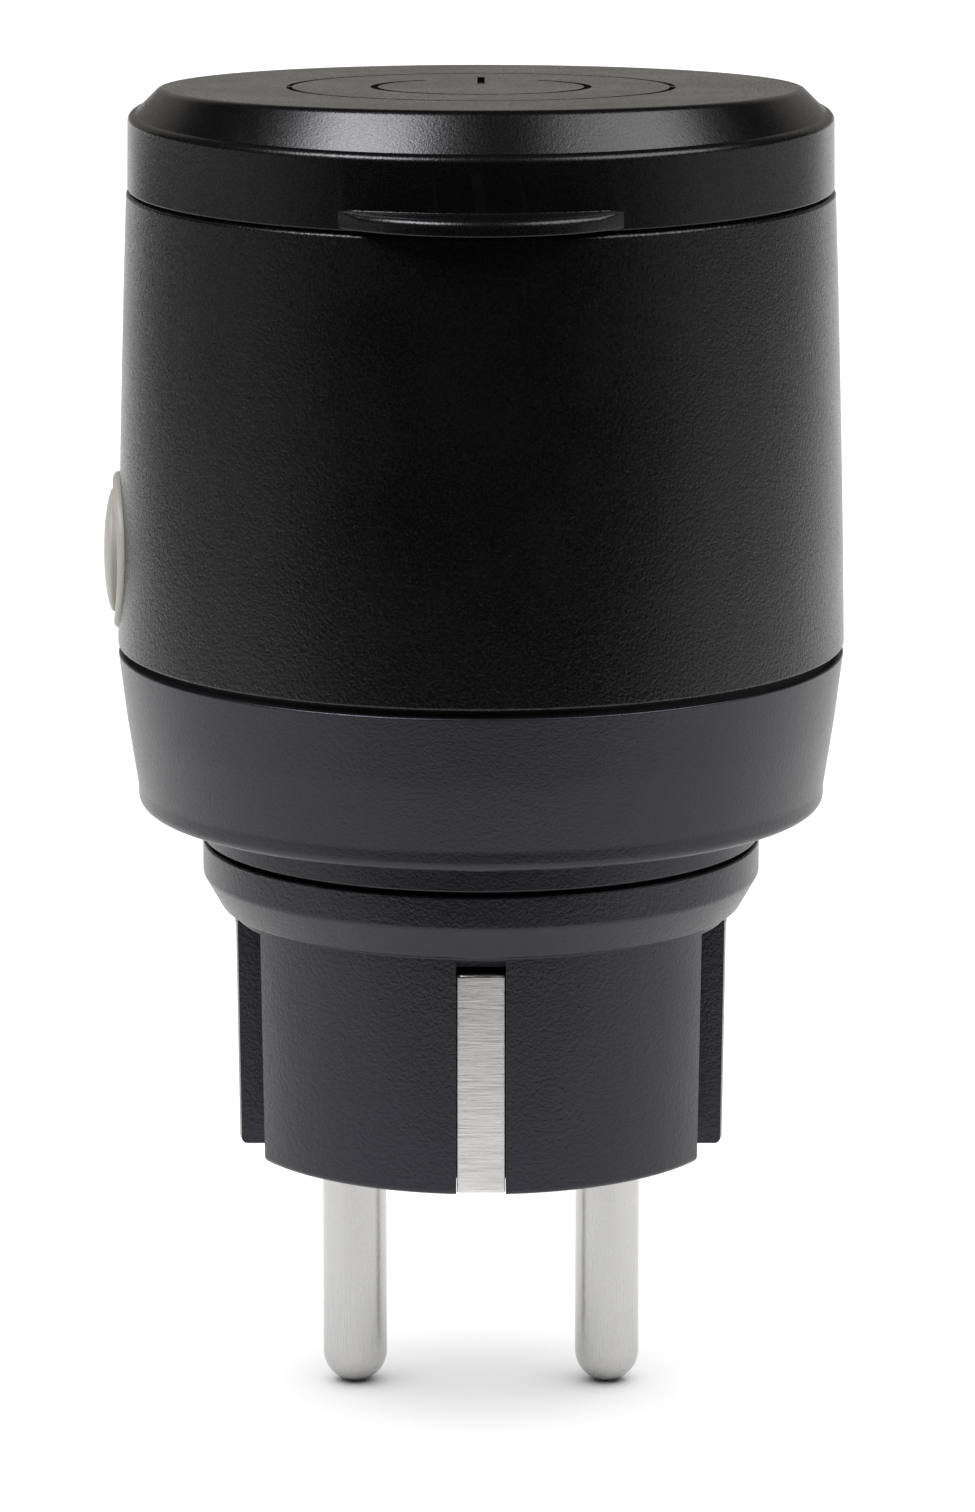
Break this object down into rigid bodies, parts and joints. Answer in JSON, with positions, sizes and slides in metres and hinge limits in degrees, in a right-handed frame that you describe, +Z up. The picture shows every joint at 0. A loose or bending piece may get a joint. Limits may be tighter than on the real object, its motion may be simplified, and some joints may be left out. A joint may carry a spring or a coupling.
{
  "type": "smart plug",
  "caption": "Round black outdoor smart plug with a hinged lid over its socket, a side button, side earth strips and round pins.",
  "frame": {"origin": "centre of the plug face, where the two pins leave it", "axes": "+Z up towards the lid and its socket, the pins point along -Z; -X is the button side, -Y the front earth strip, +Y the lid's hinge"},
  "size_m": [0.0548, 0.0586, 0.0992],
  "materials": {
    "black_plastic": "fine spark-eroded grain, low sheen",
    "charcoal_plastic": "fine satin grain",
    "inner_plastic": "satin moulded",
    "white_plastic": "plain moulded",
    "grey_silicone": "translucent warm grey, smooth",
    "seal_rubber": "matte",
    "nickel_plating": "nickel plated, lightly brushed along the length",
    "spring_steel": "drawn wire and zinc-plated screws",
    "brass": "stamped strip",
    "board_laminate": "solder mask over glass laminate",
    "relay_case": "moulded case",
    "ferrite": "wound ferrite core, varnished",
    "fuse_ceramic": "glazed tube",
    "varistor_coat": "dipped epoxy coat",
    "capacitor_sleeve": "shrink sleeve",
    "led_lens": "clear diffused lens"
  },
  "bodies": {
    "housing": {"barrel_housing": "black_plastic", "body_gasket": "seal_rubber", "base_housing": "charcoal_plastic", "neck_gasket": "seal_rubber", "plug_body": "charcoal_plastic", "pin_live": "nickel_plating", "pin_neutral": "nickel_plating", "pin_clamp": "white_plastic", "busbar_live": "brass", "busbar_neutral": "brass", "earth_strip_front": "nickel_plating", "earth_strip_rear": "nickel_plating", "earth_clip_front": "nickel_plating", "earth_clip_rear": "nickel_plating", "earth_link": "nickel_plating", "hinge_pin": "spring_steel", "hinge_spring": "spring_steel", "socket_insert": "inner_plastic", "shutter_spring": "spring_steel", "contact_carrier": "white_plastic", "contact_live": "brass", "contact_neutral": "brass", "carrier_screw_a": "spring_steel", "carrier_screw_b": "spring_steel", "main_board": "board_laminate", "relay": "relay_case", "capacitor": "capacitor_sleeve", "transformer": "ferrite", "choke": "ferrite", "fuse": "fuse_ceramic", "varistor": "varistor_coat", "bridge_rectifier": "inner_plastic", "radio_board": "board_laminate", "radio_shield": "spring_steel", "switch_board": "board_laminate", "tact_switch": "inner_plastic", "status_led": "led_lens", "button_bezel": "grey_silicone", "housing_screw_1": "spring_steel", "plug_screw_1": "spring_steel", "housing_screw_2": "spring_steel", "plug_screw_2": "spring_steel", "housing_screw_3": "spring_steel", "plug_screw_3": "spring_steel", "housing_screw_4": "spring_steel", "plug_screw_4": "spring_steel"},
    "lid": {"lid": "black_plastic", "lid_gasket": "seal_rubber"},
    "button": {"button_cap": "grey_silicone", "switch_stem": "white_plastic"},
    "shutter": {"shutter": "white_plastic"}
  },
  "joints": [
    {"name": "lid_hinge", "type": "hinge", "parent": "housing", "child": "lid", "pos_m": [0, 0.028, 0.0719], "axis": [-1, 0, 0], "range_deg": [0, 110], "stiffness_Nm_per_rad": 0.004, "springref_deg": -34.38, "deforming": ["hinge_spring"]},
    {"name": "button_press", "type": "slide", "parent": "housing", "child": "button", "axis": [1, 0, 0], "range_m": [0, 0.0008], "stiffness_N_per_m": 800, "springref_m": -0.0005},
    {"name": "shutter_turn", "type": "hinge", "parent": "housing", "child": "shutter", "pos_m": [0, 0, 0.05], "axis": [0, 0, 1], "range_deg": [0, 46], "stiffness_Nm_per_rad": 0.0002, "springref_deg": -11.46, "deforming": ["shutter_spring"]}
  ]
}
